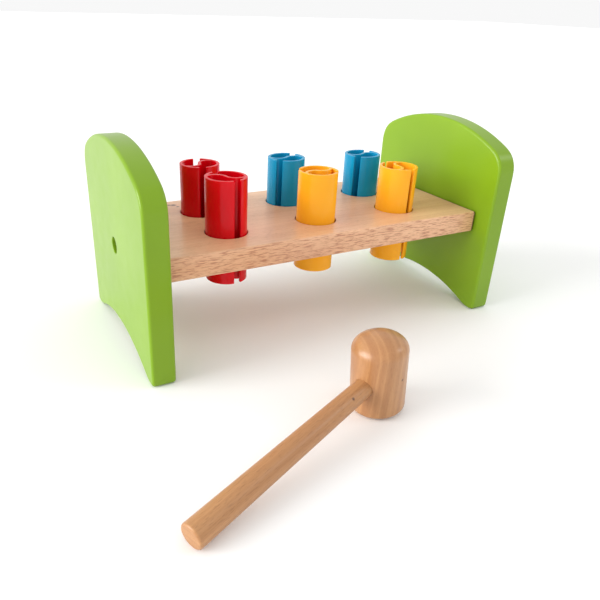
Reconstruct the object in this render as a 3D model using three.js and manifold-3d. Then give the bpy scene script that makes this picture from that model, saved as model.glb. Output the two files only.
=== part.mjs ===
// Toy workbench: a pounding bench with six pegs, and its mallet.
// Millimetres, +Z up. Each end is a board standing on two feet, the plank between them
// holds the pegs, and the mallet stands on the floor in front of the bench.
import * as THREE from "three";
import { mergeVertices } from "three/addons/utils/BufferGeometryUtils.js";
import Module from "manifold-3d";

// ---- driving dimensions ----
const gap = 0.3; // clearance between two pieces that meet

const bench = { length: 250, width: 125, height: 125 };
const panel = {
  thickness: 14,
  crownRadius: 120, // arched top edge
  shoulderRadius: 16, // corner between the crown and the straight side
  archHalfWidth: 53, // cut-out between the feet
  archHeight: 11.7,
  edgeRadius: 1.8,
};
const plank = { width: 99, thickness: 14, top: 69.8, edgeChamfer: 0.6 };
const pegHole = { radius: 13.1, chamfer: 0.4, pitch: 62.5, rowSpacing: 41.5 };
const peg = {
  radius: 12.6,
  length: 62.8,
  wall: 1.9,
  slotWidth: 4.1,
  webAngle: 60, // degrees from a slot to the place where the web joins the wall
  webBulge: 3.7, // how far each half of the web bows towards its slot
};
const screw = {
  headRadius: 4,
  headHeight: 2.6,
  shankRadius: 2,
  length: 38,
  tipLength: 6,
  recessWidth: 0.9,
  recessSpan: 4.4,
  recessDepth: 1.5,
  counterboreRadius: 5,
  counterboreDepth: 6.5,
};
const dowel = { radius: 3, length: 24, inPanel: 8, offset: 30, chamfer: 0.6 };
const mallet = {
  headRadius: 14.75,
  headHeight: 45.2,
  domeHeight: 8.8,
  rimRadius: 2.7,
  handleHeight: 19.4, // handle's axis above the striking face
  handleReach: 132, // head's axis to the handle's tail
  neckRadius: 5.3,
  tailRadius: 6.25,
  tailRound: 1.2,
  tenonPastAxis: 7, // how far the handle goes into the head beyond its axis
  x: -20.5, // middle of the striking face, from the middle of the bench
  y: -127.3,
  turn: 200.7, // degrees, direction in which the handle points
};

// Where each peg stands: column and row of its hole, height above the plank,
// direction of one slot in degrees, and whether the peg is in upside down.
const pegs = [
  { name: "peg_red_front", colour: 0xc4000f, column: -1, row: -1, standsUp: 33.5, slot: -80.5, flipped: false },
  { name: "peg_red_back", colour: 0xc4000f, column: -1, row: 1, standsUp: 31.6, slot: -101.5, flipped: true },
  { name: "peg_yellow_middle", colour: 0xffb030, column: 0, row: -1, standsUp: 31.3, slot: -34.5, flipped: false },
  { name: "peg_yellow_right", colour: 0xffb030, column: 1, row: -1, standsUp: 28.9, slot: -80, flipped: true },
  { name: "peg_blue_middle", colour: 0x1f80a8, column: 0, row: 1, standsUp: 30.5, slot: -140, flipped: true },
  { name: "peg_blue_right", colour: 0x1f80a8, column: 1, row: 1, standsUp: 28.1, slot: -140.5, flipped: true },
];
const grippedSlots = { peg_yellow_right: 2.4 }; // slot width where the hole squeezes a peg

const plankMiddle = plank.top - plank.thickness / 2;
const panelFace = bench.length / 2 - panel.thickness; // inner face of an end panel, from the middle
const plankHalf = panelFace - gap;

// ---- materials ----
const greenPaint = new THREE.MeshStandardMaterial({ color: 0xa4d640, roughness: 0.35, metalness: 0 });
const beech = new THREE.MeshStandardMaterial({ color: 0xdcae86, roughness: 0.6, metalness: 0 });
const varnishedBeech = new THREE.MeshStandardMaterial({ color: 0xc89464, roughness: 0.4, metalness: 0 });
const zincSteel = new THREE.MeshStandardMaterial({ color: 0xb8b8b0, roughness: 0.4, metalness: 1 });

// ---- joining and cutting ----
const wasm = await Module();
wasm.setup();

function solid(geometry) {
  const bare = geometry.clone();
  bare.deleteAttribute("normal");
  bare.deleteAttribute("uv");
  const merged = mergeVertices(bare, 1e-4);
  const mesh = new wasm.Mesh({
    numProp: 3,
    vertProperties: new Float32Array(merged.attributes.position.array),
    triVerts: new Uint32Array(merged.index.array),
  });
  return new wasm.Manifold(mesh);
}

function geometryOf(body) {
  const mesh = body.getMesh();
  const geometry = new THREE.BufferGeometry();
  geometry.setAttribute("position", new THREE.BufferAttribute(mesh.vertProperties, 3));
  geometry.setIndex(new THREE.BufferAttribute(mesh.triVerts, 1));
  geometry.computeVertexNormals();
  return geometry;
}

function cut(geometry, tools) {
  return geometryOf(tools.reduce((body, tool) => body.subtract(solid(tool)), solid(geometry)));
}

// A cylinder along Z from one height to another.
function bar(radius, from, to, segments = 32) {
  const geometry = new THREE.CylinderGeometry(radius, radius, to - from, segments);
  return geometry.rotateX(Math.PI / 2).translate(0, 0, (from + to) / 2);
}

// A turned piece about Z, from [radius, height] points that start and end on the axis.
function turned(profile, segments = 32) {
  const points = profile.map(([radius, height]) => new THREE.Vector2(radius, height));
  return new THREE.LatheGeometry(points, segments).rotateX(Math.PI / 2);
}

// Points on an arc of a turned profile, around [centreRadius, centreHeight].
function arcPoints(centreRadius, centreHeight, across, along, from, to, steps) {
  return Array.from({ length: steps + 1 }, (_, i) => {
    const angle = from + ((to - from) * i) / steps;
    return [centreRadius + across * Math.cos(angle), centreHeight + along * Math.sin(angle)];
  });
}

function piece(name, geometry, material, parent) {
  const mesh = new THREE.Mesh(geometry, material);
  mesh.name = name;
  parent.add(mesh);
  return mesh;
}

// ---- end panels ----
// Outline in the board's own plane: feet on y = 0, straight sides, round shoulders,
// an arched crown and an arched cut-out between the feet.
function panelOutline() {
  const half = bench.width / 2;
  const crownCentre = bench.height - panel.crownRadius;
  const shoulderX = half - panel.shoulderRadius;
  const reach = panel.crownRadius - panel.shoulderRadius;
  const shoulderY = crownCentre + Math.sqrt(reach ** 2 - shoulderX ** 2);
  const join = Math.atan2(shoulderY - crownCentre, shoulderX);
  const archRadius = (panel.archHalfWidth ** 2 + panel.archHeight ** 2) / (2 * panel.archHeight);
  const archCentre = panel.archHeight - archRadius;
  const foot = Math.atan2(-archCentre, panel.archHalfWidth);

  const outline = new THREE.Shape();
  outline.moveTo(panel.archHalfWidth, 0);
  outline.lineTo(half, 0);
  outline.absarc(shoulderX, shoulderY, panel.shoulderRadius, 0, join);
  outline.absarc(0, crownCentre, panel.crownRadius, join, Math.PI - join);
  outline.absarc(-shoulderX, shoulderY, panel.shoulderRadius, Math.PI - join, Math.PI);
  outline.lineTo(-half, 0);
  outline.lineTo(-panel.archHalfWidth, 0);
  outline.absarc(0, archCentre, archRadius, Math.PI - foot, foot, true);
  return outline;
}

// The board lies in XY with its outer face down at z = 0 and its inner face up.
function panelGeometry() {
  const board = new THREE.ExtrudeGeometry(panelOutline(), {
    depth: panel.thickness - 2 * panel.edgeRadius,
    bevelThickness: panel.edgeRadius,
    bevelSize: panel.edgeRadius,
    bevelOffset: -panel.edgeRadius,
    bevelSegments: 3,
    curveSegments: 12,
  }).translate(0, 0, panel.edgeRadius);
  const past = 1;
  const dowelDepth = panel.thickness - dowel.inPanel - gap;
  const dowelHoles = [-1, 1].map((side) =>
    bar(dowel.radius + gap, dowelDepth, panel.thickness + past).translate(side * dowel.offset, plankMiddle, 0),
  );
  return cut(board, [
    bar(screw.counterboreRadius, -past, screw.counterboreDepth).translate(0, plankMiddle, 0),
    bar(screw.shankRadius + gap, -past, panel.thickness + past).translate(0, plankMiddle, 0),
    ...dowelHoles,
  ]);
}

// ---- plank ----
// Rounded rectangle through its thickness, with its six holes and the screw and dowel holes.
function plankGeometry() {
  const chamfer = plank.edgeChamfer;
  const halfWidth = plank.width / 2;
  const halfThick = plank.thickness / 2;
  const section = new THREE.Shape([
    new THREE.Vector2(halfWidth - chamfer, -halfThick),
    new THREE.Vector2(halfWidth, chamfer - halfThick),
    new THREE.Vector2(halfWidth, halfThick - chamfer),
    new THREE.Vector2(halfWidth - chamfer, halfThick),
    new THREE.Vector2(chamfer - halfWidth, halfThick),
    new THREE.Vector2(-halfWidth, halfThick - chamfer),
    new THREE.Vector2(-halfWidth, chamfer - halfThick),
    new THREE.Vector2(chamfer - halfWidth, -halfThick),
  ]);
  const board = new THREE.ExtrudeGeometry(section, { depth: 2 * plankHalf, bevelEnabled: false });
  board.translate(0, 0, -plankHalf).rotateY(Math.PI / 2).rotateX(Math.PI / 2);

  // Hole with a flared mouth at both faces, as a turned plug.
  const past = 1;
  const flare = pegHole.radius + pegHole.chamfer + past;
  const plug = turned(
    [
      [0, -halfThick - past],
      [flare, -halfThick - past],
      [pegHole.radius, pegHole.chamfer - halfThick],
      [pegHole.radius, halfThick - pegHole.chamfer],
      [flare, halfThick + past],
      [0, halfThick + past],
    ],
    48,
  );
  const pegHoles = pegs.map(({ column, row }) =>
    plug.clone().translate(column * pegHole.pitch, (row * pegHole.rowSpacing) / 2, 0),
  );

  const screwEnd = bench.length / 2 - screw.counterboreDepth - screw.length - gap;
  const dowelEnd = panelFace - (dowel.length - dowel.inPanel) - gap;
  const endHoles = [-1, 1].flatMap((end) => [
    bar(screw.shankRadius + gap, screwEnd, plankHalf + past).rotateY((end * Math.PI) / 2),
    ...[-1, 1].map((side) =>
      bar(dowel.radius + gap, dowelEnd, plankHalf + past)
        .rotateY((end * Math.PI) / 2)
        .translate(0, side * dowel.offset, 0),
    ),
  ]);
  return cut(board, [...pegHoles, ...endHoles]);
}

// ---- pegs ----
// Section: a thin round wall with two opposite slots, held together by an S-shaped web.
// Slots lie on the X axis, and each half of the web bows towards the slot it ends beside.
function pegGeometry(slotWidth) {
  const outer = peg.radius;
  const inner = peg.radius - peg.wall;
  const slotHalf = Math.asin(slotWidth / 2 / ((outer + inner) / 2));
  const tall = { depth: peg.length, bevelEnabled: false, curveSegments: 14 };

  const halfWall = new THREE.Shape();
  halfWall.absarc(0, 0, outer, slotHalf, Math.PI - slotHalf);
  halfWall.absarc(0, 0, inner, Math.PI - slotHalf, slotHalf, true);

  // Half web: an arc from the axis to the middle of the wall.
  const chord = outer - peg.wall / 2;
  const bow = (chord ** 2 / 4 + peg.webBulge ** 2) / (2 * peg.webBulge);
  const spread = Math.asin(chord / 2 / bow);
  const halfWeb = new THREE.Shape();
  const centreY = bow - peg.webBulge;
  const from = Math.PI * 1.5 - spread;
  const to = Math.PI * 1.5 + spread;
  halfWeb.absarc(chord / 2, centreY, bow + peg.wall / 2, from, to);
  halfWeb.absarc(chord / 2, centreY, bow - peg.wall / 2, to, from, true);

  const webAngle = THREE.MathUtils.degToRad(peg.webAngle);
  const wall = new THREE.ExtrudeGeometry(halfWall, tall);
  const web = new THREE.ExtrudeGeometry(halfWeb, tall).rotateZ(webAngle);
  const half = solid(wall).add(solid(web));
  const otherHalf = solid(wall.clone().rotateZ(Math.PI)).add(solid(web.clone().rotateZ(Math.PI)));
  return geometryOf(half.add(otherHalf)).translate(0, 0, -peg.length / 2);
}

// ---- fasteners ----
// Wood screw pointing along -Z, with the underside of its head at z = 0.
function screwGeometry() {
  const root = screw.shankRadius;
  const body = turned(
    [
      [0, -screw.length],
      [root, screw.tipLength - screw.length],
      [root, 0],
      [screw.headRadius, 0],
      [screw.headRadius, screw.headHeight * 0.5],
      [screw.headRadius * 0.8, screw.headHeight * 0.88],
      [screw.headRadius * 0.4, screw.headHeight],
      [0, screw.headHeight],
    ],
    24,
  );
  const bars = [0, Math.PI / 2].map((turn) =>
    new THREE.BoxGeometry(screw.recessSpan, screw.recessWidth, 2 * screw.recessDepth)
      .rotateZ(turn)
      .translate(0, 0, screw.headHeight),
  );
  return cut(body, bars);
}

function dowelGeometry() {
  const half = dowel.length / 2;
  const narrow = dowel.radius - dowel.chamfer;
  return turned(
    [
      [0, -half],
      [narrow, -half],
      [dowel.radius, dowel.chamfer - half],
      [dowel.radius, half - dowel.chamfer],
      [narrow, half],
      [0, half],
    ],
    24,
  );
}

// ---- mallet ----
// Head on its striking face at z = 0, handle leaving it along +X.
function malletHeadGeometry() {
  const { headRadius, headHeight, domeHeight, rimRadius } = mallet;
  const head = turned(
    [
      [0, 0],
      ...arcPoints(headRadius - rimRadius, rimRadius, rimRadius, rimRadius, -Math.PI / 2, 0, 4),
      ...arcPoints(0, headHeight - domeHeight, headRadius, domeHeight, 0, Math.PI / 2, 10),
    ],
    48,
  );
  const socket = bar(mallet.neckRadius + gap, -mallet.tenonPastAxis - gap, 2 * headRadius);
  return cut(head, [socket.rotateY(Math.PI / 2).translate(0, 0, mallet.handleHeight)]);
}

// Handle along +X from the bottom of its socket to the rounded tail.
function malletHandleGeometry() {
  const { neckRadius, tailRadius, tailRound, handleReach, headRadius, tenonPastAxis } = mallet;
  return turned([
    [0, -tenonPastAxis],
    [neckRadius, -tenonPastAxis],
    [neckRadius, headRadius],
    ...arcPoints(tailRadius - tailRound, handleReach - tailRound, tailRound, tailRound, 0, Math.PI / 2, 4),
    [0, handleReach],
  ]).rotateY(Math.PI / 2);
}

// ---- the bench put together ----
const benchGroup = new THREE.Group();
const boardGeometry = panelGeometry();
for (const end of [-1, 1]) {
  const side = end < 0 ? "left" : "right";
  const endGroup = new THREE.Group();
  endGroup.rotation.z = end < 0 ? 0 : Math.PI;
  benchGroup.add(endGroup);

  const board = piece(`end_panel_${side}`, boardGeometry, greenPaint, endGroup);
  board.position.x = -bench.length / 2;
  board.rotation.set(Math.PI / 2, Math.PI / 2, 0);

  const fixing = piece(`screw_${side}`, screwGeometry(), zincSteel, endGroup);
  fixing.position.set(screw.counterboreDepth - gap - bench.length / 2, 0, plankMiddle);
  fixing.rotation.y = -Math.PI / 2;

  for (const row of [-1, 1]) {
    const place = row < 0 ? "front" : "back";
    const pin = piece(`dowel_${side}_${place}`, dowelGeometry(), beech, endGroup);
    const across = end < 0 ? row : -row; // the right end's group is turned round
    pin.position.set(dowel.length / 2 - dowel.inPanel - panelFace, across * dowel.offset, plankMiddle);
    pin.rotation.y = Math.PI / 2;
  }
}
piece("plank", plankGeometry(), beech, benchGroup).position.z = plankMiddle;

for (const { name, colour, column, row, standsUp, slot, flipped } of pegs) {
  const plastic = new THREE.MeshStandardMaterial({ color: colour, roughness: 0.25, metalness: 0 });
  const holder = new THREE.Group();
  holder.position.set(
    column * pegHole.pitch,
    (row * pegHole.rowSpacing) / 2,
    plank.top + standsUp - peg.length / 2,
  );
  holder.rotation.z = THREE.MathUtils.degToRad(slot);
  benchGroup.add(holder);
  const pegBody = pegGeometry(grippedSlots[name] ?? peg.slotWidth);
  piece(name, pegBody, plastic, holder).rotation.x = flipped ? Math.PI : 0;
}

// ---- the mallet laid down ----
// It rests on the rim of its striking face and on its tail, so it leans by the angle between
// the line through those two places and the striking face.
const malletGroup = new THREE.Group();
piece("mallet_head", malletHeadGeometry(), varnishedBeech, malletGroup);
piece("mallet_handle", malletHandleGeometry(), varnishedBeech, malletGroup).position.z = mallet.handleHeight;
const lean = Math.atan2(
  mallet.handleHeight - mallet.tailRadius,
  mallet.handleReach - mallet.tailRound - (mallet.headRadius - mallet.rimRadius),
);
malletGroup.rotation.set(0, lean, THREE.MathUtils.degToRad(mallet.turn), "ZYX");
malletGroup.position.set(mallet.x, mallet.y, 0);
malletGroup.updateMatrixWorld(true);
malletGroup.position.z = -new THREE.Box3().setFromObject(malletGroup, true).min.z;

// ---- the set ----
// The origin is the middle of the whole set's footprint, on the floor.
const group = new THREE.Group();
group.add(benchGroup, malletGroup);
group.updateMatrixWorld(true);
const box = new THREE.Box3().setFromObject(group, true);
const middle = box.getCenter(new THREE.Vector3());
benchGroup.position.set(-middle.x, -middle.y, 0);
malletGroup.position.x -= middle.x;
malletGroup.position.y -= middle.y;

export default group;
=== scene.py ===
# Toy workbench: a pounding bench with six split pegs, and its mallet.
import math

import bmesh
import bpy
import numpy as np
from mathutils import Matrix, Vector


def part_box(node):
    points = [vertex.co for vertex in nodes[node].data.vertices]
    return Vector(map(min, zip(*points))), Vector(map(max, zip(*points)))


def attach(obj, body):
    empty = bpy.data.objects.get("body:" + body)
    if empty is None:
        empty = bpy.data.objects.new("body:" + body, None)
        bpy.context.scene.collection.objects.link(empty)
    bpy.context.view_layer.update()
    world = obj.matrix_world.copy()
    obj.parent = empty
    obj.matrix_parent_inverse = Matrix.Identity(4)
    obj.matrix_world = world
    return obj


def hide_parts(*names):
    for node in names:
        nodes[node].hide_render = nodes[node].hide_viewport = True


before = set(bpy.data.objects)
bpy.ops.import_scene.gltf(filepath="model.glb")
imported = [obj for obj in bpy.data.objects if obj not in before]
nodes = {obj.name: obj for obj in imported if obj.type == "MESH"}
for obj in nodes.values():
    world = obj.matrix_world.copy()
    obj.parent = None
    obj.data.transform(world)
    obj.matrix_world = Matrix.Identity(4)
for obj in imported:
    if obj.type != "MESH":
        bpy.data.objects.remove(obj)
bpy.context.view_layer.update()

mm = 0.001
gap = 0.3   # mm between pieces that meet
hold = 0.3  # mm from an eased edge to the ring of points that keeps its shading to itself
print("stage: frame loaded,", len(nodes), "nodes")


# Where things are.
def boxOf(node):  # lowest and highest corner of a CAD node, in mm
    low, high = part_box(node)
    return np.array(low) / mm, np.array(high) / mm


plankLow, plankHigh = boxOf("plank")
plankMid = (plankLow + plankHigh) / 2
floorZ = boxOf("end_panel_left")[0][2]


# Surfaces, worked out in mm.
# Quads that join a grid of rows x columns points, and go round where it wraps.
def gridFaces(rows, columns, wrapRows=False, wrapColumns=True):
    r = np.arange(rows if wrapRows else rows - 1)[:, None]
    c = np.arange(columns if wrapColumns else columns - 1)[None, :]
    rNext, cNext = (r + 1) % rows, (c + 1) % columns
    corners = [r * columns + c, r * columns + cNext, rNext * columns + cNext, rNext * columns + c]
    return np.stack([np.broadcast_to(k, (r.size, c.size)) for k in corners], -1).reshape(-1, 4)


# A piece from points in mm. Quads and fans are shaded smooth and flats flat, and points nearer
# than weld are joined.
def makePiece(name, points, quads, fans=(), flats=(), sharpAngle=35, weld=0.0):
    mesh = bpy.data.meshes.new(name)
    mesh.from_pydata((np.asarray(points) * mm).tolist(), [], [*quads.tolist(), *fans, *flats])
    mesh.polygons.foreach_set("use_smooth", [True] * (len(quads) + len(fans)) + [False] * len(flats))
    if weld:
        work = bmesh.new()
        work.from_mesh(mesh)
        bmesh.ops.remove_doubles(work, verts=work.verts, dist=weld * mm)
        work.to_mesh(mesh)
        work.free()
    mesh.set_sharp_from_angle(angle=math.radians(sharpAngle))
    piece = bpy.data.objects.new(name, mesh)
    bpy.context.scene.collection.objects.link(piece)
    return piece


# Gives a piece its finish, the body that it rides on, and the CAD nodes that it stands for.
def finishPiece(piece, material, body, slot, *replaced):
    piece.data.materials.append(material)
    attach(piece, body)
    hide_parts(*replaced)


def frameAlong(direction, place):  # a 4x4 place whose z axis runs along a direction
    z = np.array(direction, float) / np.linalg.norm(direction)
    y = np.cross(z, [0, 0, 1.0]) if abs(z[2]) < 0.9 else np.array([0, 1.0, 0])
    y /= np.linalg.norm(y)
    matrix = np.eye(4)
    matrix[:3, :3] = np.stack([np.cross(y, z), y, z], 1)
    matrix[:3, 3] = place
    return matrix


# Rings of [radius, height] carried round the z axis from the lowest to the highest, each the same
# all the way round or with a value for every point of it, and closed by one point at each end.
def turnedPiece(name, rings, around, place=np.eye(4), sharpAngle=35):
    turn = np.linspace(0, 2 * np.pi, around, endpoint=False)
    rings = np.asarray(rings, float)
    rings = rings if rings.ndim == 3 else np.repeat(rings[:, None], around, 1)
    radius, height = rings[..., 0], rings[..., 1]
    grid = np.stack([radius * np.cos(turn), radius * np.sin(turn), height], -1)
    ends = [[0, 0, height[0].mean()], [0, 0, height[-1].mean()]]
    points = np.vstack([grid.reshape(-1, 3), ends]) @ place[:3, :3].T + place[:3, 3]
    here = np.arange(around)
    after = (here + 1) % around
    last = (len(rings) - 1) * around
    low = np.full(around, len(rings) * around)
    bottom = np.stack([low, after, here], -1)
    top = np.stack([low + 1, last + here, last + after], -1)
    fans = np.vstack([bottom, top]).tolist()
    return makePiece(name, points, gridFaces(len(rings), around), fans, sharpAngle=sharpAngle)


def arc(centreA, centreB, radiusA, radiusB, start, end, steps):  # points on an arc, angles in degrees
    turn = np.radians(np.linspace(start, end, steps))
    return np.stack([centreA + radiusA * np.cos(turn), centreB + radiusB * np.sin(turn)], -1)


# A closed outline at even spacing, with its normals. Its corners are rounded by a Gaussian of
# soften mm: each wave of the loop shrinks by exp(-2 (pi x frequency x soften) squared).
def evenLoop(points, count, soften):
    loop = np.vstack([points, points[:1]])
    run = np.concatenate([[0], np.cumsum(np.linalg.norm(np.diff(loop, axis=0), axis=1))])
    at = np.linspace(0, run[-1], count, endpoint=False)
    z = np.interp(at, run, loop[:, 0]) + 1j * np.interp(at, run, loop[:, 1])
    waves = np.fft.fftfreq(count, run[-1] / count)
    z = np.fft.ifft(np.fft.fft(z) * np.exp(-2 * (np.pi * waves * soften) ** 2))
    along = np.fft.ifft(np.fft.fft(z) * 2j * np.pi * waves)
    out = -1j * along / np.abs(along)  # outward normal of a loop that runs anticlockwise
    return np.stack([z.real, z.imag], -1), np.stack([out.real, out.imag], -1)


def cutWith(piece, cutters):  # takes the cutters' solids out of a piece, then removes them
    for cutter in cutters:
        cut = piece.modifiers.new("cut", "BOOLEAN")
        cut.operation, cut.solver, cut.object = "DIFFERENCE", "EXACT", cutter
    seen = bpy.context.evaluated_depsgraph_get()
    seen.update()
    mesh = bpy.data.meshes.new_from_object(piece.evaluated_get(seen))
    piece.modifiers.clear()
    piece.data = mesh
    mesh.set_sharp_from_angle(angle=math.radians(35))
    for cutter in cutters:
        bpy.data.objects.remove(cutter)


# Materials.
def linearColour(code):  # sRGB hex to the linear numbers that shaders take
    channel = np.array([int(code[i:i + 2], 16) for i in (1, 3, 5)]) / 255
    linear = np.where(channel <= 0.04045, channel / 12.92, ((channel + 0.055) / 1.055) ** 2.4)
    return (*map(float, linear), 1.0)


# Adds a node with its settings, its colour stops as (place, hex) pairs, and its inputs as numbers,
# hex colours or another node's output. It gives back one output, by name or number.
def addNode(tree, kind, inputs=(), stops=(), out=0, **settings):
    node = tree.nodes.new(kind)
    for key, value in settings.items():
        setattr(node, key, value)
    for key, value in dict(inputs).items():
        if isinstance(value, bpy.types.NodeSocket):
            tree.links.new(value, node.inputs[key])
        else:
            node.inputs[key].default_value = linearColour(value) if isinstance(value, str) else value
    for _ in stops[2:]:
        node.color_ramp.elements.new(1.0)
    for k, (place, code) in enumerate(stops):
        node.color_ramp.elements[k].position = place
        node.color_ramp.elements[k].color = linearColour(code)
    return node.outputs[out] if node.outputs else node


# A material with one Principled shader over a table of noise patterns. A pattern is the size of its
# cells in mm along x, y and z, how many finer layers it has, and how strong they are. turn lays
# those axes along a piece's grain. fill(tree, point, noise) adds the other nodes and gives back the
# shader's inputs.
def makeMaterial(name, patterns, fill, turn=(0, 0, 0)):
    material = bpy.data.materials.new(name)
    material.use_nodes = True
    tree = material.node_tree
    tree.nodes.clear()
    point = addNode(tree, "ShaderNodeTexCoord", out="Object")
    links = {"Vector": point, "Rotation": turn}
    grain = addNode(tree, "ShaderNodeMapping", links, vector_type="TEXTURE")
    noise = {}
    for key, (cells, layers, strength) in patterns.items():
        scale = [1 / (size * mm) for size in cells]
        spread = addNode(tree, "ShaderNodeMapping", {"Vector": grain, "Scale": scale})
        links = {"Vector": spread, "Scale": 1.0, "Detail": layers, "Roughness": strength}
        noise[key] = addNode(tree, "ShaderNodeTexNoise", links)
    shader = addNode(tree, "ShaderNodeBsdfPrincipled", fill(tree, point, noise))
    addNode(tree, "ShaderNodeOutputMaterial", {"Surface": shader})
    return material


# Satin enamel on board: sprayed acrylic paint, so a faint orange peel of about 1.5 mm over a
# slow swell, and a change of tone over centimetres where the coat is thicker.
satinEnamel = {
    "deep": "#769A15",
    "light": "#7DA119",
    "roughness": 0.3,
    "relief": 0.02,  # mm
    "patterns": {
        "peel": ((1.6, 1.6, 1.6), 2.0, 0.5),
        "swell": ((14, 14, 14), 1.0, 0.5),
        "tone": ((55, 55, 55), 2.0, 0.5),
        "cloud": ((9, 9, 9), 3.0, 0.5),
    },
}


def enamelFill(tree, point, noise):
    e = satinEnamel
    shades = ((0.3, e["deep"]), (0.7, e["light"]))
    tone = addNode(tree, "ShaderNodeValToRGB", {"Fac": noise["tone"]}, stops=shades)
    links = {"Value": noise["cloud"], "To Min": e["roughness"] - 0.04, "To Max": e["roughness"] + 0.06}
    gloss = addNode(tree, "ShaderNodeMapRange", links)
    links = {0: noise["swell"], 1: 1.5, 2: noise["peel"]}
    height = addNode(tree, "ShaderNodeMath", links, operation="MULTIPLY_ADD")
    links = {"Height": height, "Distance": e["relief"] * mm, "Strength": 0.5}
    return {
        "Base Color": tone,
        "Roughness": gloss,
        "Normal": addNode(tree, "ShaderNodeBump", links),
        "IOR": 1.49,  # acrylic
        "Specular IOR Level": 0.32,
        "Coat Weight": 0.06,
        "Coat Roughness": 0.22,
    }


# Beech: pale pinkish brown with a straight, even grain. Growth bands are stripes some millimetres
# wide, pores are hair-thin dashes along the grain, and rays are short dark flecks. A sawn edge that
# cuts across the rays shows them as long dark lenses. Clear lacquer lies over the board, and a
# glossier, warmer varnish over the mallet.
beechBoard = {
    "pale": "#F6C89E", "mid": "#EEBA91", "deep": "#DFA97F", "ray": "#AE754D", "lens": "#9E5430",
    # The end-grain colour on the next line also paints the shadow line where the board meets the panels.
    "knot": "#4F2A14", "endGrainAndJointShadow": "#4A2C18",
    "stripeShare": 0.3, "rayShare": 0.35, "poreShare": 0.25, "lensShare": 0.7,
    "edgeShare": 0.12,  # of the lenses' colour, all over a sawn edge
    "roughness": 0.42, "coat": 0.4, "relief": 0.04,
    "patterns": {  # mm along the grain, across it and through the board, layers, strength of the finer ones
        "streak": ((60, 1.2, 1.2), 4.0, 0.6),
        "stripe": ((150, 5.5, 40), 2.0, 0.5),
        "broad": ((120, 24, 24), 2.0, 0.5),
        "ray": ((3.5, 0.5, 0.5), 2.0, 0.55),
        "patch": ((40, 14, 14), 1.0, 0.5),
        "pore": ((3.2, 0.28, 0.28), 1.0, 0.5),
        "lens": ((7.5, 9, 0.75), 3.0, 0.6),
        "gloss": ((30, 2, 2), 2.0, 0.5),
    },
}
malletWood = {
    "pale": "#C29161", "mid": "#B68355", "deep": "#A57146", "ray": "#744828", "knot": "#4E2C16",
    "stripeShare": 0.55, "rayShare": 0.15, "poreShare": 0.2, "lensShare": 0,
    "roughness": 0.34, "coat": 0.22, "relief": 0.03,
    "patterns": {
        "streak": ((60, 0.9, 0.9), 4.0, 0.6),
        "stripe": ((260, 4.2, 90), 1.5, 0.45),
        "broad": ((120, 20, 20), 2.0, 0.5),
        "ray": ((4.0, 0.5, 0.5), 2.0, 0.5),
        "patch": ((30, 10, 10), 1.0, 0.5),
        "pore": ((4.0, 0.3, 0.3), 1.0, 0.5),
        "gloss": ((30, 2, 2), 2.0, 0.5),
    },
}
handleWood = {
    **malletWood,
    "pale": "#C3915F", "mid": "#B58152", "deep": "#9F6C42", "ray": "#683E22",
    "stripeShare": 0.35, "rayShare": 0.2, "poreShare": 0.25,
    "roughness": 0.42, "coat": 0.1,
}


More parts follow.
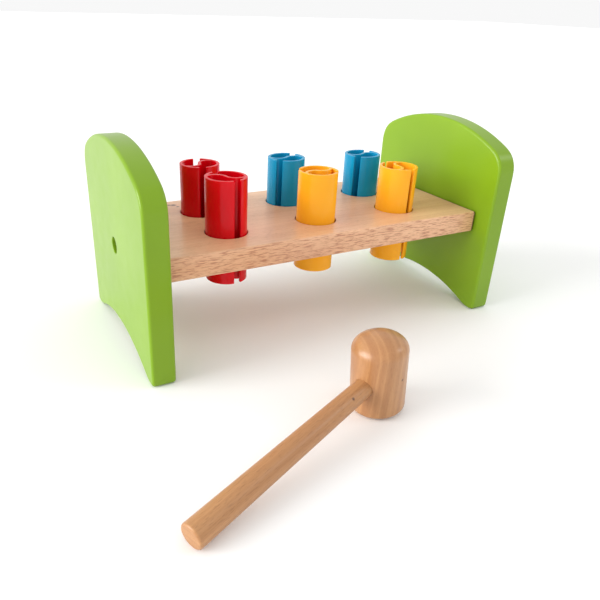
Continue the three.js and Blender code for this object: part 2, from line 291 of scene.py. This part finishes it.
def beechFill(wood, knots=()):  # knots are (place, radius) in mm
    blend = {"out": 2, "data_type": "RGBA"}  # a Mix node takes its share at 0 and colours at 6 and 7

    def fill(tree, point, noise):
        pale, mid, deep = wood["pale"], wood["mid"], wood["deep"]
        streaks = ((0.32, mid), (0.66, pale))
        fine = addNode(tree, "ShaderNodeValToRGB", {"Fac": noise["streak"]}, stops=streaks)
        bands = ((0.36, deep), (0.46, mid), (0.5, pale), (0.6, mid), (0.68, deep))
        stripe = addNode(tree, "ShaderNodeValToRGB", {"Fac": noise["stripe"]}, stops=bands)
        colour = addNode(tree, "ShaderNodeMix", {0: wood["stripeShare"], 6: fine, 7: stripe}, **blend)
        slow = ((0.3, "#EFE7E2"), (0.7, "#FFFFFF"))
        shade = addNode(tree, "ShaderNodeValToRGB", {"Fac": noise["broad"]}, stops=slow)
        links = {0: 1.0, 6: colour, 7: shade}
        colour = addNode(tree, "ShaderNodeMix", links, blend_type="MULTIPLY", **blend)

        # Flecks lie thicker in some patches of the board than in others.
        links = {"Value": noise["patch"], "From Min": 0.35, "From Max": 0.6}
        patch = addNode(tree, "ShaderNodeMapRange", links)
        links = {"Value": noise["ray"], "From Min": 0.57, "From Max": 0.66, "To Max": wood["rayShare"]}
        ray = addNode(tree, "ShaderNodeMapRange", links)
        ray = addNode(tree, "ShaderNodeMath", {0: ray, 1: patch}, operation="MULTIPLY")
        colour = addNode(tree, "ShaderNodeMix", {0: ray, 6: colour, 7: wood["ray"]}, **blend)
        links = {"Value": noise["pore"], "From Min": 0.58, "From Max": 0.7, "To Max": wood["poreShare"]}
        pore = addNode(tree, "ShaderNodeMapRange", links)
        colour = addNode(tree, "ShaderNodeMix", {0: pore, 6: colour, 7: wood["ray"]}, **blend)
        dents = addNode(tree, "ShaderNodeMath", {0: pore, 1: ray}, operation="ADD")
        if wood["lensShare"]:  # only where the surface faces the side of the board
            facing = addNode(tree, "ShaderNodeNewGeometry", out="Normal")
            facing = addNode(tree, "ShaderNodeSeparateXYZ", {"Vector": facing}, out="Y")
            facing = addNode(tree, "ShaderNodeMath", {0: facing}, operation="ABSOLUTE")
            links = {"Value": noise["lens"], "From Min": 0.495, "From Max": 0.6}
            links.update({"To Min": wood["edgeShare"], "To Max": wood["lensShare"]})
            lens = addNode(tree, "ShaderNodeMapRange", links)
            lens = addNode(tree, "ShaderNodeMath", {0: lens, 1: facing}, operation="MULTIPLY")
            colour = addNode(tree, "ShaderNodeMix", {0: lens, 6: colour, 7: wood["lens"]}, **blend)
            dents = addNode(tree, "ShaderNodeMath", {0: dents, 1: lens}, operation="ADD")

            # End grain drinks the lacquer and looks darker, and a painted shadow line lies along the joint
            # with each panel: so the last 1.3 to 1.9 mm of the board's length is dark, on its faces as well
            # as on its ends.
            end = (plankHigh[0] - plankMid[0]) * mm
            links = {0: point, 1: plankMid * mm}
            away = addNode(tree, "ShaderNodeVectorMath", links, operation="SUBTRACT")
            away = addNode(tree, "ShaderNodeSeparateXYZ", {"Vector": away}, out="X")
            away = addNode(tree, "ShaderNodeMath", {0: away}, operation="ABSOLUTE")
            links = {"Value": away, "From Min": end - 1.9 * mm, "From Max": end - 1.3 * mm, "To Max": 0.9}
            dark = addNode(tree, "ShaderNodeMapRange", links)
            colour = addNode(tree, "ShaderNodeMix", {0: dark, 6: colour, 7: wood["endGrainAndJointShadow"]}, **blend)
        for place, radius in knots:
            links = {0: point, 1: np.array(place) * mm}
            away = addNode(tree, "ShaderNodeVectorMath", links, out="Value", operation="DISTANCE")
            core, rim = 0.3 * radius * mm, radius * mm
            links = {"Value": away, "From Min": core, "From Max": rim, "To Min": 0.9, "To Max": 0}
            knot = addNode(tree, "ShaderNodeMapRange", links)
            colour = addNode(tree, "ShaderNodeMix", {0: knot, 6: colour, 7: wood["knot"]}, **blend)
        low, high = wood["roughness"] - 0.06, wood["roughness"] + 0.08
        links = {"Value": noise["gloss"], "To Min": low, "To Max": high}
        gloss = addNode(tree, "ShaderNodeMapRange", links)
        links = {"Height": dents, "Distance": -wood["relief"] * mm, "Strength": 0.6}
        return {
            "Base Color": colour,
            "Roughness": gloss,
            "Normal": addNode(tree, "ShaderNodeBump", links),
            "IOR": 1.5,  # lacquer
            "Coat Weight": wood["coat"],
            "Coat Roughness": 0.18,
        }
    return fill


# Injection-moulded ABS: even colour and high gloss, with a faint ripple where the plastic flowed
# along the mould and a little light scattered inside the thin walls.
plasticPatterns = {
    "tone": ((25, 25, 25), 2.0, 0.5),
    "ripple": ((7, 7, 26), 2.0, 0.5),
    "rub": ((1.5, 1.5, 4), 2.0, 0.5),
}


def plasticFill(code, deep, glow):
    def fill(tree, point, noise):
        shades = ((0.3, deep), (0.6, code))
        tone = addNode(tree, "ShaderNodeValToRGB", {"Fac": noise["tone"]}, stops=shades)
        links = {"Value": noise["rub"], "To Min": 0.16, "To Max": 0.24}
        gloss = addNode(tree, "ShaderNodeMapRange", links)
        links = {"Height": noise["ripple"], "Distance": 0.02 * mm, "Strength": 0.4}
        return {
            "Base Color": tone,
            "Roughness": gloss,
            "Normal": addNode(tree, "ShaderNodeBump", links),
            "IOR": 1.54,
            "Specular IOR Level": 0.2,  # a dyed surface with a soft sheen
            "Subsurface Weight": glow,
            "Subsurface Radius": (1, 1, 1),
            "Subsurface Scale": 1.2 * mm,
        }
    return fill


# Zinc plate on a steel wood screw: bright grey, slightly cloudy from the dip.
zincPatterns = {
    "cloud": ((1.5, 1.5, 1.5), 3.0, 0.5),
    "dull": ((0.6, 0.6, 0.6), 2.0, 0.5),
}


def zincFill(tree, point, noise):
    shades = ((0.3, "#A9A9A2"), (0.7, "#C6C6BE"))
    tone = addNode(tree, "ShaderNodeValToRGB", {"Fac": noise["cloud"]}, stops=shades)
    gloss = addNode(tree, "ShaderNodeMapRange", {"Value": noise["dull"], "To Min": 0.28, "To Max": 0.45})
    return {"Base Color": tone, "Roughness": gloss, "Metallic": 1.0}


# Matt white paper of the studio sweep: its tooth is too fine to show, so only a faint mottle.
paperPatterns = {
    "mottle": ((120, 120, 120), 2.0, 0.5),
}


def paperFill(tree, point, noise):
    shades = ((0.3, "#FAFAF9"), (0.7, "#FCFCFB"))
    tone = addNode(tree, "ShaderNodeValToRGB", {"Fac": noise["mottle"]}, stops=shades)
    return {"Base Color": tone, "Roughness": 0.9}


boardKnots = [
    (plankMid + [-74.6, 39.5, 7], 2.6),
    (plankMid + [-77.4, 40.5, 7], 1.8),
    (plankMid + [-73.0, 35.4, 7], 1.5),
]
greenEnamel = makeMaterial("green satin enamel", satinEnamel["patterns"], enamelFill)
redPlastic = makeMaterial("red moulded ABS", plasticPatterns, plasticFill("#DC0014", "#D00010", 0.1))
yellowPlastic = makeMaterial("yellow moulded ABS", plasticPatterns, plasticFill("#FCB024", "#F5AA1E", 0.15))
bluePlastic = makeMaterial("blue moulded ABS", plasticPatterns, plasticFill("#1094C0", "#0E88B2", 0.1))
zincSteel = makeMaterial("zinc plated steel", zincPatterns, zincFill)
lacqueredBeech = makeMaterial(
    "beech, clear matt lacquer", beechBoard["patterns"], beechFill(beechBoard, boardKnots),
)
print("stage: materials")

# End panels.
endPanel = {
    "crownRadius": 120.0,    # mm, arched top edge
    "shoulderRadius": 16.0,  # between the crown and the straight side
    "archHalfWidth": 53.0,   # cut-out between the feet
    "archHeight": 11.7,
    "edgeRadius": 1.8,       # eased edges
    "cornerSoften": 2.2,     # rounding of the feet's corners
    "holeRadius": 5.0,       # over the screw's head
    "holeDepth": 6.5,
    "holeRim": 0.5,
    "pilotRadius": 2.3,      # round the screw's shank
    "around": 720,
}


def boreAlongX(middle, radius, start, end):  # a round cutter from start to end
    low, high = min(start, end), max(start, end)
    place = frameAlong([1, 0, 0], [0, middle[1], middle[2]])
    return turnedPiece("bore", [[radius, low], [radius, high]], 64, place)


def dowelBores(side):  # a little longer and wider than the dowels, at both of their ends
    bores = []
    for place in ("front", "back"):
        low, high = boxOf(f"dowel_{side}_{place}")
        radius = (high[2] - low[2]) / 2 + gap
        bores.append(boreAlongX((low + high) / 2, radius, low[0] - gap, high[0] + gap))
    return bores


def panelOutline(half, height):  # feet, sides, shoulders, crown, then back along the arch
    p = endPanel
    crownZ = height - p["crownRadius"]
    shoulderY = half - p["shoulderRadius"]
    reach = p["crownRadius"] - p["shoulderRadius"]
    shoulderZ = crownZ + math.sqrt(reach ** 2 - shoulderY ** 2)
    join = math.degrees(math.atan2(shoulderZ - crownZ, shoulderY))
    archRadius = (p["archHalfWidth"] ** 2 + p["archHeight"] ** 2) / (2 * p["archHeight"])
    archZ = p["archHeight"] - archRadius
    foot = math.degrees(math.atan2(-archZ, p["archHalfWidth"]))
    shoulder = p["shoulderRadius"]
    return np.vstack([
        [[p["archHalfWidth"], 0], [half, 0]],
        arc(shoulderY, shoulderZ, shoulder, shoulder, 0, join, 60),
        arc(0, crownZ, p["crownRadius"], p["crownRadius"], join, 180 - join, 200),
        arc(-shoulderY, shoulderZ, shoulder, shoulder, 180 - join, 180, 60),
        [[-half, 0], [-p["archHalfWidth"], 0]],
        arc(0, archZ, archRadius, archRadius, 180 - foot, foot, 160),
    ])


# Rings carried from the screw hole over the outer face, the edge and the inner face, and back.
def makePanel(side, sign):
    p = endPanel
    low, high = boxOf(f"end_panel_{side}")
    thick = high[0] - low[0]
    shape = panelOutline((high[1] - low[1]) / 2, high[2] - low[2])
    outline, normal = evenLoop(shape, p["around"], p["cornerSoften"])
    centre = np.array([0, plankMid[2] - low[2]])
    ray = outline - centre
    ray /= np.linalg.norm(ray, axis=1)[:, None]
    ease, rim = p["edgeRadius"], p["holeRim"]
    rings, depths = [], []

    def addRing(ring, depth):
        rings.append(ring)
        depths.append(depth)

    def circle(radius):
        return centre + ray * radius

    def inset(amount):
        return outline - normal * amount

    addRing(circle(p["pilotRadius"]), thick)
    addRing(circle(p["pilotRadius"]), p["holeDepth"])
    addRing(circle(p["holeRadius"]), p["holeDepth"])
    for turn in np.linspace(0, np.pi / 2, 5):  # rim of the screw hole
        addRing(circle(p["holeRadius"] + rim * (1 - np.cos(turn))), rim * (1 - np.sin(turn)))
    faceIn, faceOut = circle(p["holeRadius"] + rim), inset(ease)
    for part in (0.01, 0.2, 0.5, 0.8, 0.985):
        addRing(faceIn + (faceOut - faceIn) * part, 0)
    for turn in np.linspace(0, np.pi / 2, 8):  # outer edge
        addRing(inset(ease * (1 - np.sin(turn))), ease * (1 - np.cos(turn)))
    addRing(outline, ease + hold)
    addRing(outline, thick - ease - hold)
    for turn in np.linspace(0, np.pi / 2, 8):  # inner edge
        addRing(inset(ease * (1 - np.cos(turn))), thick - ease * (1 - np.sin(turn)))
    for part in (0.985, 0.5, 0.01):
        addRing(circle(p["pilotRadius"]) * (1 - part) + faceOut * part, thick)

    flat = np.array(rings)
    depth = np.repeat(np.array(depths)[:, None], p["around"], 1)
    outerX = low[0] if sign < 0 else high[0]
    points = np.stack([
        outerX - sign * depth,
        plankMid[1] - sign * flat[..., 0],
        low[2] + flat[..., 1],
    ], -1)
    quads = gridFaces(len(rings), p["around"], wrapRows=True)
    board = makePiece(f"end_panel_{side}_board", points.reshape(-1, 3), quads)
    cutWith(board, dowelBores(side))
    return board


for side, sign in (("left", -1), ("right", 1)):
    panel = makePanel(side, sign)
    finishPiece(panel, greenEnamel, "bench", "green_paint", f"end_panel_{side}")
print("stage: end panels")

# Plank.
plankBoard = {
    "holeRadius": 13.1,   # mm
    "holeRim": 0.4,       # eased rim of each hole
    "edgeRadius": 1.4,    # long edges
    "endEase": 0.9,       # eased ends
    "pitch": 62.5,        # between columns of holes
    "rowSpacing": 41.5,
    "screwBore": 2.3,
    "perSide": 32,        # points along each side of one hole's share of the board
}


# Six patches of rings, each from a hole's wall out to its share of the board's face, above and
# below, then bands along the long edges, and the eased ends.
def makePlank():
    p = plankBoard
    size = plankHigh - plankLow
    halfLength, halfWidth, halfThick = size / 2
    ease, n = p["edgeRadius"], p["perSide"]
    flatY = halfWidth - ease
    endX = halfLength - p["endEase"]
    xLines = [-endX, -p["pitch"] / 2, p["pitch"] / 2, endX]
    step = np.linspace(0, 1, n, endpoint=False)
    points, quads, count = [], [], 0

    def addGrid(grid, flip=False, wrap=True):
        nonlocal count
        faces = gridFaces(grid.shape[0], grid.shape[1], wrapColumns=wrap) + count
        quads.append(faces[:, ::-1] if flip else faces)
        points.append(grid.reshape(-1, 3))
        count += grid.shape[0] * grid.shape[1]

    for column in range(3):
        for row in (-1, 1):
            x0, x1 = xLines[column], xLines[column + 1]
            y0, y1 = (-flatY, 0.0) if row < 0 else (0.0, flatY)
            edge = np.vstack([
                np.stack([x0 + (x1 - x0) * step, np.full(n, y0)], -1),
                np.stack([np.full(n, x1), y0 + (y1 - y0) * step], -1),
                np.stack([x1 + (x0 - x1) * step, np.full(n, y1)], -1),
                np.stack([np.full(n, x0), y1 + (y0 - y1) * step], -1),
            ])
            centre = np.array([(column - 1) * p["pitch"], row * p["rowSpacing"] / 2])
            ray = edge - centre
            ray /= np.linalg.norm(ray, axis=1)[:, None]
            radius, rim = p["holeRadius"], p["holeRim"]
            rings = [(centre + ray * radius, 0.0), (centre + ray * radius, halfThick - rim - hold)]
            for turn in np.linspace(0, np.pi / 2, 6):
                ring = centre + ray * (radius + rim * (1 - np.cos(turn)))
                rings.append((ring, halfThick - rim * (1 - np.sin(turn))))
            inner = centre + ray * (radius + rim)
            for part in (0.03, 0.3, 0.65, 1.0):
                rings.append((inner + (edge - inner) * part, halfThick))
            flat = np.array([ring for ring, _ in rings])
            height = np.repeat(np.array([z for _, z in rings])[:, None], 4 * n, 1)
            addGrid(np.dstack([flat, height]), flip=True)
            addGrid(np.dstack([flat, -height]))

    xs = np.concatenate([xLines[k] + (xLines[k + 1] - xLines[k]) * step for k in range(3)] + [[endX]])
    turn = np.radians(np.linspace(90, 0, 8))
    yTop = flatY + ease * np.cos(turn)
    zTop = halfThick - ease * (1 - np.sin(turn))
    yEdge = np.concatenate([yTop, yTop[::-1]])
    zEdge = np.concatenate([zTop, -zTop[::-1]])
    for sign in (-1, 1):
        band = np.stack(np.broadcast_arrays(xs[None, :], (sign * yEdge)[:, None], zEdge[:, None]), -1)
        addGrid(band, flip=sign > 0, wrap=False)

    # Ends: an eased ring with the same points as the patches that meet it, then one flat polygon.
    ys = np.concatenate([-flatY + flatY * step, flatY * step, [flatY]])
    section = np.vstack([
        np.stack([ys, np.full(len(ys), halfThick)], -1),
        np.stack([yEdge, zEdge], -1)[1:-1],
        np.stack([ys[::-1], np.full(len(ys), -halfThick)], -1),
        np.stack([-yEdge[::-1], zEdge[::-1]], -1)[1:-1],
    ])
    small = section * (1 - p["endEase"] / np.array([halfWidth, halfThick]))
    flats = []
    for sign in (-1, 1):
        ring = np.column_stack([np.full(len(section), sign * endX), section])
        end = np.column_stack([np.full(len(section), sign * halfLength), small])
        order = list(range(count + len(section), count + 2 * len(section)))
        addGrid(np.stack([ring, end]), flip=sign > 0)
        flats.append(order[::-sign])
    points = np.vstack(points) + plankMid
    board = makePiece("plank_board", points, np.vstack(quads), flats=flats, weld=0.001)

    for side, sign in (("left", -1), ("right", 1)):
        low, high = boxOf(f"screw_{side}")
        tip = (high if sign < 0 else low)[0]
        past = plankMid[0] + sign * (halfLength + 2)  # beyond the end of the board
        bore = boreAlongX((low + high) / 2, p["screwBore"], tip - sign * gap, past)
        cutWith(board, [bore, *dowelBores(side)])
    return board


plank = makePlank()
finishPiece(plank, lacqueredBeech, "bench", "beech", "plank")
print("stage: plank")

# Pegs.
splitPeg = {
    "radius": 12.6,      # mm
    "wall": 1.9,
    "slotWidth": 4.1,
    "grippedSlots": {"peg_yellow_right": 2.4},  # where the hole squeezes a peg
    "webAngle": 60.0,    # degrees from a slot to where the web joins the wall
    "webBulge": 3.7,     # how far each half of the web bows towards its slot
    "cornerSoften": 0.45,
    "edgeRadius": 0.3,
    "around": 720,
}
pegs = {  # direction of one slot in degrees, flipped end for end or not, finish, slot
    "peg_red_front": (-80.5, False, redPlastic, "red_plastic"),
    "peg_red_back": (-101.5, True, redPlastic, "red_plastic"),
    "peg_yellow_middle": (-34.5, False, yellowPlastic, "yellow_plastic"),
    "peg_yellow_right": (-80.0, True, yellowPlastic, "yellow_plastic"),
    "peg_blue_middle": (-140.0, True, bluePlastic, "blue_plastic"),
    "peg_blue_right": (-140.5, True, bluePlastic, "blue_plastic"),
}


def pegSection(slotWidth):  # half of the outline, then the same half turned by 180 degrees
    p = splitPeg
    outer = p["radius"]
    inner, middle = outer - p["wall"], outer - p["wall"] / 2
    slotOut = math.degrees(math.asin(slotWidth / 2 / outer))
    slotIn = math.degrees(math.asin(slotWidth / 2 / inner))
    bow = (middle ** 2 / 4 + p["webBulge"] ** 2) / (2 * p["webBulge"])
    spread = math.degrees(math.asin(middle / 2 / bow))
    turn = math.radians(p["webAngle"])
    spin = np.array([[math.cos(turn), math.sin(turn)], [-math.sin(turn), math.cos(turn)]])
    # The web's side that faces the far slot: outside of one half's bow, inside of the other's.
    centre = middle / 2, bow - p["webBulge"]
    small, large = bow - p["wall"] / 2, bow + p["wall"] / 2
    near = arc(*centre, small, small, 270 + spread, 270 - spread, 80)
    far = -arc(*centre, large, large, 270 - spread, 270 + spread, 80)
    web = np.vstack([near, far]) @ spin
    web = web[np.hypot(*web.T) < inner]
    first, last = np.degrees(np.arctan2(web[[0, -1], 1], web[[0, -1], 0])) % 360
    half = np.vstack([
        arc(0, 0, outer, outer, slotOut, 180 - slotOut, 160),
        arc(0, 0, inner, inner, 180 - slotIn, first, 100),
        web,
        arc(0, 0, inner, inner, last, 180 + slotIn, 60),
    ])
    return np.vstack([half, -half])


# The section carried up the peg, drawn in at both ends for the eased edges, flipped if the peg is
# upside down, and turned round until a slot points along its direction.
def makePeg(node, slot, flipped):
    p = splitPeg
    low, high = boxOf(node)
    centre = (low + high) / 2
    slotWidth = p["grippedSlots"].get(node, p["slotWidth"])
    section, normal = evenLoop(pegSection(slotWidth), p["around"], p["cornerSoften"])
    ease = p["edgeRadius"]
    turn = np.linspace(0, np.pi / 2, 6)
    inset = ease * (1 - np.sin(turn))
    rise = ease * (1 - np.cos(turn))
    half = (high[2] - low[2]) / 2
    insets = np.concatenate([inset, inset[::-1]])
    heights = np.concatenate([rise - half, half - rise[::-1]])
    rings = section[None] - normal[None] * insets[:, None, None]
    grid = np.dstack([rings, np.repeat(heights[:, None], p["around"], 1)])
    angle = math.radians(slot)
    flip = -1 if flipped else 1
    x, y, z = grid[..., 0], grid[..., 1] * flip, grid[..., 2] * flip
    c, s = math.cos(angle), math.sin(angle)
    turned = np.stack([x * c - y * s, x * s + y * c, z], -1)
    last = (len(insets) - 1) * p["around"]
    ends = [list(range(p["around"]))[::-1], list(range(last, last + p["around"]))]
    quads = gridFaces(len(insets), p["around"])
    return makePiece(f"{node}_split", turned.reshape(-1, 3) + centre, quads, flats=ends, sharpAngle=60)


for node, (slot, flipped, finish, slotName) in pegs.items():
    peg = makePeg(node, slot, flipped)
    finishPiece(peg, finish, node, slotName, node)
print("stage: pegs")

# Mallet.
malletShape = {
    "headRadius": 14.75,    # mm
    "headHeight": 45.2,
    "domeHeight": 8.8,
    "rimRadius": 2.7,       # rounded rim of the striking face
    "handleHeight": 19.4,   # handle's axis above the striking face
    "tenonPastAxis": 7.0,
    "neckRadius": 5.3,
    "tailRadius": 6.25,
    "tailRound": 1.2,
    "tenonEase": 0.4,
    "fit": 0.1,             # gap round the handle in its socket
}


# From the CAD node's points: where the handle meets the head's axis, its direction and its length.
def malletPlace():
    mesh = nodes["mallet_handle"].data
    points = np.empty(len(mesh.vertices) * 3)
    mesh.vertices.foreach_get("co", points)
    points = points.reshape(-1, 3) / mm
    middle = points.mean(0)
    along = np.linalg.svd(points - middle, full_matrices=False)[2][0]
    along *= -np.sign(along[2])  # the tail is the low end
    run = (points - middle) @ along
    return middle + along * (run.min() + malletShape["tenonPastAxis"]), along, run.max() - run.min()


# The head is carried round its own axis, with a socket cut for the handle. The handle is straight
# in the head and grows evenly thicker from there to its rounded tail.
def makeMallet():
    p = malletShape
    place, along, length = malletPlace()
    up = np.cross(along, np.cross([0, 0, 1.0], along))
    up /= np.linalg.norm(up)  # the head stands square to the handle, so it leans a little
    foot = place - up * p["handleHeight"]
    radius, dome = p["headRadius"], p["domeHeight"]
    shoulder = p["headHeight"] - dome
    rings = np.vstack([
        [[hold, 0], [radius - p["rimRadius"] - hold, 0]],
        arc(radius - p["rimRadius"], p["rimRadius"], p["rimRadius"], p["rimRadius"], -90, 0, 10),
        np.stack([np.full(14, radius), np.linspace(p["rimRadius"] + hold, shoulder - hold, 14)], -1),
        arc(0, shoulder, radius, dome, 0, 89, 28),
    ])
    head = turnedPiece("mallet_head_turned", rings, 192, frameAlong(up, foot))
    onHandle = frameAlong(along, place)
    bore, start = p["neckRadius"] + p["fit"], -p["tenonPastAxis"] - p["fit"]
    cutWith(head, [turnedPiece("socket", [[bore, start], [bore, 2 * radius]], 96, onHandle)])

    reach = length - p["tenonPastAxis"]
    tail, roundness = p["tailRadius"], p["tailRound"]
    run = np.linspace(0, 1, 24)
    rings = np.vstack([
        [[p["neckRadius"] - p["tenonEase"], -p["tenonPastAxis"]]],
        [[p["neckRadius"], p["tenonEase"] - p["tenonPastAxis"]]],
        np.stack([
            p["neckRadius"] + (tail - p["neckRadius"]) * run,
            radius + (reach - roundness - radius) * run,
        ], -1),
        arc(tail - roundness, reach - roundness, roundness, roundness, 10, 90, 8),
    ])
    return head, turnedPiece("mallet_handle_turned", rings, 128, onHandle)


# The turn that lays a grain's length along one direction and its growth bands across another.
def turnFor(along, across):
    along = np.array(along, float) / np.linalg.norm(along)
    through = np.cross(along, across)
    through /= np.linalg.norm(through)
    axes = np.stack([along, np.cross(through, along), through], 1)
    return tuple(Matrix(axes.tolist()).to_euler("XYZ"))


malletHead, malletHandle = makeMallet()
neck, handleWay, _ = malletPlace()
bandAngle = math.radians(-15)  # growth bands stand upright in the head, seen nearly edge on from the front
headTurn = turnFor([0, 0, 1], [math.cos(bandAngle), math.sin(bandAngle), 0])
headKnots = [(neck + [3.9, -14.3, 4.3], 1.0)]
handleKnots = [(neck + [-25.1, -13.5, 0.8], 1.1)]
headFill, handleFill = beechFill(malletWood, headKnots), beechFill(handleWood, handleKnots)
handleTurn = turnFor(handleWay, [0, 0, 1])
headFinish = makeMaterial("varnished beech, head", malletWood["patterns"], headFill, headTurn)
handleFinish = makeMaterial("varnished beech, handle", handleWood["patterns"], handleFill, handleTurn)
finishPiece(malletHead, headFinish, "mallet", "varnished_beech", "mallet_head")
finishPiece(malletHandle, handleFinish, "mallet", "varnished_beech", "mallet_handle")
print("stage: mallet")

# Screws and dowels.
woodScrew = {
    "headRadius": 4.0,    # mm
    "headHeight": 2.6,
    "rimHeight": 1.0,
    "recessWidth": 0.9,   # cross recess
    "recessSpan": 4.4,
    "recessDepth": 1.4,
    "recessSoften": 0.3,
    "shankRadius": 1.95,
    "coreRadius": 1.35,
    "threadStart": 12.0,  # below the head
    "threadRunIn": 2.0,   # from the smooth shank to the full thread
    "pitch": 1.8,
    "tipLength": 6.0,
    "tipShare": 0.03,     # of the radius, left at the very point
    "ringStep": 0.2,
    "around": 72,
}
flutedDowel = {
    "flutes": 18,
    "fluteDepth": 0.22,   # mm
    "endEase": 0.6,
    "around": 216,
}


# The thread's radius rises and falls with height / pitch + angle / one turn, so it winds round the
# core. The head is a low dome, pressed down where the distance to the nearer arm of a cross is small.
def makeScrew(side, sign):
    p = woodScrew
    low, high = boxOf(f"screw_{side}")
    length = high[0] - low[0] - p["headHeight"]
    turn = np.linspace(0, 2 * np.pi, p["around"], endpoint=False)[None]
    z = np.arange(1.5 * p["ringStep"] - length, -p["ringStep"] / 4, p["ringStep"])[:, None]
    wave = (1 - np.abs(2 * ((z / p["pitch"] + turn / (2 * np.pi)) % 1) - 1)) ** 2
    cut = np.clip((-z - p["threadStart"]) / p["threadRunIn"], 0, 1)
    radius = p["shankRadius"] - cut * (p["shankRadius"] - p["coreRadius"]) * (1 - wave)
    radius = radius * np.clip((z + length) / p["tipLength"], p["tipShare"], 1)
    share = np.cos(np.linspace(0, 0.98, 30) * np.pi / 2)[:, None]
    r = p["headRadius"] * share * np.ones_like(turn)
    arm = np.minimum(np.abs(r * np.cos(turn)), np.abs(r * np.sin(turn)))
    soft = p["recessSoften"]
    press = np.clip((p["recessWidth"] / 2 + soft / 2 - arm) / soft, 0, 1)
    press *= np.clip((p["recessSpan"] / 2 - r) / soft, 0, 1)
    dome = (p["headHeight"] - p["rimHeight"]) * np.sqrt(1 - share ** 2)
    headZ = p["rimHeight"] + dome - p["recessDepth"] * press
    flat = np.ones_like(turn)
    rings = np.vstack([
        np.dstack([radius, z * flat]),
        np.dstack([np.array([[p["shankRadius"]], [p["headRadius"]]]) * flat, np.zeros((2, 1)) * flat]),
        np.dstack([r, headZ]),
    ])
    under = (low[0] if sign < 0 else high[0]) - sign * p["headHeight"]
    place = frameAlong([sign, 0, 0], [under, *((low + high) / 2)[1:]])
    return turnedPiece(f"screw_{side}_threaded", rings, p["around"], place, sharpAngle=30)


# A bar whose radius is less by a narrow groove at each flute, cos to the eighth power of its angle.
def makeDowel(node):
    p = flutedDowel
    low, high = boxOf(node)
    outer, half = (high[2] - low[2]) / 2, (high[0] - low[0]) / 2
    turn = np.linspace(0, 2 * np.pi, p["around"], endpoint=False)[None]
    groove = p["fluteDepth"] * np.cos(p["flutes"] * turn / 2) ** 8
    ease = p["endEase"]
    z = np.array([-half, -half, ease - half, 0, half - ease, half, half])[:, None]
    core = outer - hold  # from the rim to the ring round the middle of each end
    inset = np.array([core, ease, 0, 0, 0, ease, core])[:, None]
    radius = outer - inset - groove * (inset < core)
    rings = np.dstack([radius, z * np.ones_like(turn)])
    return turnedPiece(f"{node}_fluted", rings, p["around"], frameAlong([1, 0, 0], (low + high) / 2))


for side, sign in (("left", -1), ("right", 1)):
    finishPiece(makeScrew(side, sign), zincSteel, "bench", "zinc_steel", f"screw_{side}")
    for place in ("front", "back"):
        pin = f"dowel_{side}_{place}"
        finishPiece(makeDowel(pin), lacqueredBeech, "bench", "beech", pin)
print("stage: screws and dowels")

# Studio.
studio = {
    "ground": 14.0,     # m across
    "skyStrength": 0.94,
    # Softboxes so far away that they light the whole floor alike: azimuth and elevation in
    # degrees, strength in W/m2, and width in degrees.
    "softboxes": {
        "window": (170, 14, 3.35, 44),
        "side": (-27, 38, 0.25, 16),
    },
}
cameraView = {
    "place": (-201.19, -337.75, 194.57),  # mm from the middle of the bench's footprint
    "yaw": 28.28, "pitch": -27.04, "roll": 2.01,  # degrees
    "focal": 36.436,                      # mm on a 36 mm sensor
    "shift": (0.0496, 0.0152),
}


# A camera that looks along its yaw and pitch, rolled round that line.
def makeCamera():
    c = cameraView
    yaw, pitch, roll = (math.radians(c[k]) for k in ("yaw", "pitch", "roll"))
    forward = np.array([math.sin(yaw) * math.cos(pitch), math.cos(yaw) * math.cos(pitch), math.sin(pitch)])
    right = np.array([math.cos(yaw), -math.sin(yaw), 0])
    up = np.cross(right, forward)
    right, up = (
        math.cos(roll) * right + math.sin(roll) * up,
        math.cos(roll) * up - math.sin(roll) * right,
    )
    place = np.eye(4)
    place[:3, :3] = np.stack([right, up, -forward], 1)
    place[:3, 3] = (np.array(c["place"]) + [plankMid[0], plankMid[1], floorZ]) * mm
    data = bpy.data.cameras.new("camera")
    data.sensor_width, data.lens = 36.0, c["focal"]
    data.shift_x, data.shift_y = c["shift"]
    data.clip_start = 0.01
    camera = bpy.data.objects.new("camera", data)
    camera.matrix_world = Matrix(place.tolist())
    bpy.context.scene.collection.objects.link(camera)
    bpy.context.scene.camera = camera


# A sun lamp that shines at the origin from an azimuth and an elevation.
def softbox(name, azimuth, elevation, strength, width):
    data = bpy.data.lights.new(name, "SUN")
    data.energy, data.angle = strength, math.radians(width)
    lamp = bpy.data.objects.new(name, data)
    a, e = math.radians(azimuth), math.radians(elevation)
    lamp.location = (math.cos(a) * math.cos(e), math.sin(a) * math.cos(e), math.sin(e))
    lamp.rotation_euler = Vector(lamp.location).to_track_quat("Z", "Y").to_euler()
    bpy.context.scene.collection.objects.link(lamp)


def makeStudio():
    s = studio
    half = s["ground"] / 2 / mm
    edge = np.linspace(-half, half, 9)
    grid = np.stack(np.broadcast_arrays(edge[None, :], edge[:, None], np.full((9, 9), floorZ)), -1)
    floor = makePiece("floor", grid.reshape(-1, 3), gridFaces(9, 9, wrapColumns=False))
    floor.data.materials.append(makeMaterial("white paper", paperPatterns, paperFill))
    for name, values in s["softboxes"].items():
        softbox(name, *values)
    world = bpy.data.worlds.new("sky")
    world.use_nodes = True
    background = world.node_tree.nodes["Background"]
    background.inputs["Color"].default_value = (1, 1, 1, 1)
    background.inputs["Strength"].default_value = s["skyStrength"]
    bpy.context.scene.world = world
    bpy.context.scene.view_settings.view_transform = "Standard"


makeCamera()
makeStudio()
print("stage: studio")
